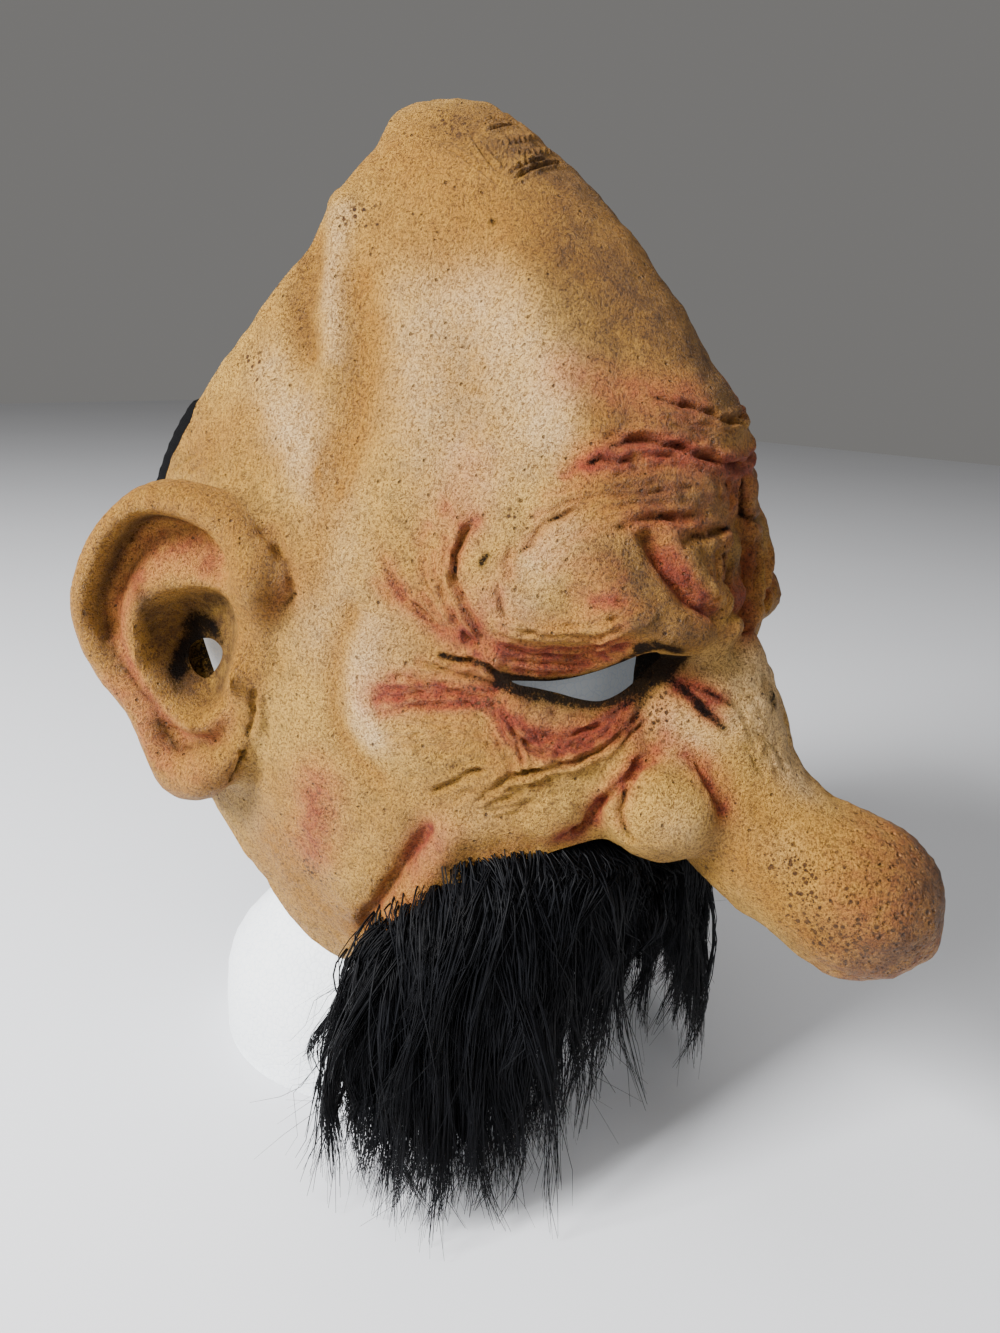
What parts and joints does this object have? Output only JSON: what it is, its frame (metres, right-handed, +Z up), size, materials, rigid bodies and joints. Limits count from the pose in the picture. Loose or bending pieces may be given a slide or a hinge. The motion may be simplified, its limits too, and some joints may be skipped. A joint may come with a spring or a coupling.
{
  "type": "old man mask",
  "caption": "Cast latex old man half mask with a drooping nose, big ears, slit eyes and a black fur moustache and beard, with an elastic head strap, on a white foam display head.",
  "frame": {"origin": "centre of the flat underside of the foam display head, on the surface it stands on", "axes": "+Z up; the face and nose look along -Y; the wearer's right side is towards -X"},
  "size_m": [0.2112, 0.3019, 0.3455],
  "materials": {
    "latex_skin": "painted and airbrushed, soft satin",
    "faux_fur": "long glossy black fibres",
    "elastic": "flat woven band",
    "foam": "fine-beaded white foam"
  },
  "bodies": {
    "root": {"mask_skin": "latex_skin", "fur_beard": "faux_fur", "head_strap": "elastic", "foam_head": "foam"}
  },
  "joints": []
}
